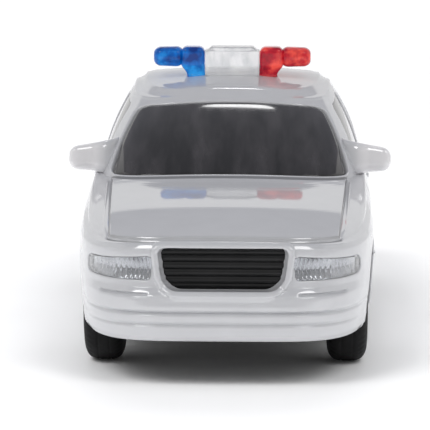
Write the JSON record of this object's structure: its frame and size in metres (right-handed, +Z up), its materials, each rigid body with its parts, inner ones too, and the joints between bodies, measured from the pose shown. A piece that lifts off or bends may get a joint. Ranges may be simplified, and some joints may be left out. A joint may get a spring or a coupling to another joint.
{
  "type": "toy police car",
  "caption": "Small die-cast toy police saloon: white body cast with its mirrors, smoked glazing, a red, clear and blue roof light bar, fitted cabin, riveted base and free-rolling axles.",
  "frame": {"origin": "on the road under the middle of the car's bounding box", "axes": "+Z up, +Y towards the tail so that the car faces -Y, and +X towards the car's left side"},
  "size_m": [0.0316, 0.0842, 0.0275],
  "materials": {
    "body_enamel": "gloss white enamel over a zinc casting",
    "smoked_glazing": "polished, smoked nearly black",
    "grille_black": "satin black",
    "headlight_clear": "clear lens over a silver reflector",
    "tail_light_red": "polished translucent red",
    "light_bar_clear": "polished clear",
    "light_bar_blue": "polished translucent blue",
    "light_bar_red": "polished translucent red",
    "cabin_grey": "matt moulded",
    "cabin_black": "matt moulded",
    "base_black": "matt moulded",
    "rivet_zinc": "pressed, dull",
    "axle_steel": "bright drawn wire",
    "wheel_silver": "silvered satin",
    "tyre_black": "matt black"
  },
  "bodies": {
    "car_body": {"body_shell": "body_enamel", "window_insert": "smoked_glazing", "grille_insert": "grille_black", "headlight_left": "headlight_clear", "headlight_right": "headlight_clear", "tail_light_left": "tail_light_red", "tail_light_right": "tail_light_red", "light_bar_clear_lens": "light_bar_clear", "light_bar_blue_lens": "light_bar_blue", "light_bar_red_lens": "light_bar_red", "interior_tub": "cabin_grey", "dashboard": "cabin_black", "steering_wheel": "cabin_black", "baseplate": "base_black", "base_rivets": "rivet_zinc"},
    "front_wheels": {"front_axle": "axle_steel", "front_left_wheel": "wheel_silver", "front_right_wheel": "wheel_silver", "front_left_tyre": "tyre_black", "front_right_tyre": "tyre_black"},
    "rear_wheels": {"rear_axle": "axle_steel", "rear_left_wheel": "wheel_silver", "rear_right_wheel": "wheel_silver", "rear_left_tyre": "tyre_black", "rear_right_tyre": "tyre_black"}
  },
  "joints": [
    {"name": "front_axle_spin", "type": "hinge", "parent": "car_body", "child": "front_wheels", "pos_m": [0, -0.02562, 0.0053], "axis": [1, 0, 0], "continuous": true},
    {"name": "rear_axle_spin", "type": "hinge", "parent": "car_body", "child": "rear_wheels", "pos_m": [0, 0.01991, 0.0053], "axis": [1, 0, 0], "continuous": true}
  ]
}
